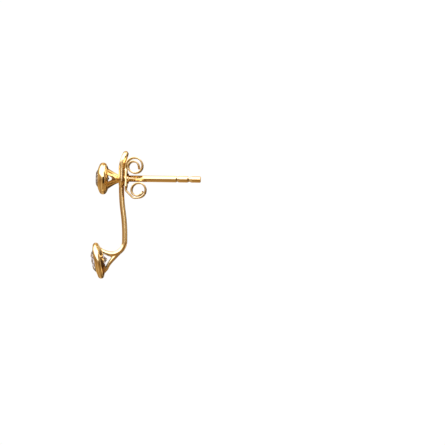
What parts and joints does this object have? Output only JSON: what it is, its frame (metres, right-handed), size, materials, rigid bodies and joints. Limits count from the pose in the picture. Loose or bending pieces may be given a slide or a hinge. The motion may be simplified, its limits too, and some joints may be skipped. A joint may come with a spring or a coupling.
{
  "type": "ear jacket earring",
  "caption": "Ear jacket earring: a round bezel stud on a notched post, a bezel drop on a bent wire jacket that hangs on the post, and a butterfly back",
  "frame": {"origin": "On the surface that the earring lies on, under the centre of its bounding box", "axes": "+X along the post from the stud's stone to its free end, +Y up towards the top of the jacket's loop as worn, +Z away from the surface, towards the viewer of the picture"},
  "size_m": [0.0132, 0.0156, 0.0044],
  "materials": {
    "gold": "polished gold plating over sterling silver",
    "zirconia": "faceted clear cubic zirconia"
  },
  "bodies": {
    "stud": {"stud_setting": "gold", "stud_stone": "zirconia"},
    "clutch": {"butterfly_back": "gold"},
    "jacket": {"jacket_frame": "gold", "drop_stone": "zirconia"}
  },
  "joints": [
    {"name": "clutch_slide", "type": "slide", "parent": "stud", "child": "clutch", "axis": [1, 0, 0], "range_m": [0, 0.0095]},
    {"name": "jacket_swing", "type": "hinge", "parent": "clutch", "child": "jacket", "pos_m": [-0.00294, 0.00441, 0.00194], "axis": [-1, 0, 0], "continuous": true}
  ]
}
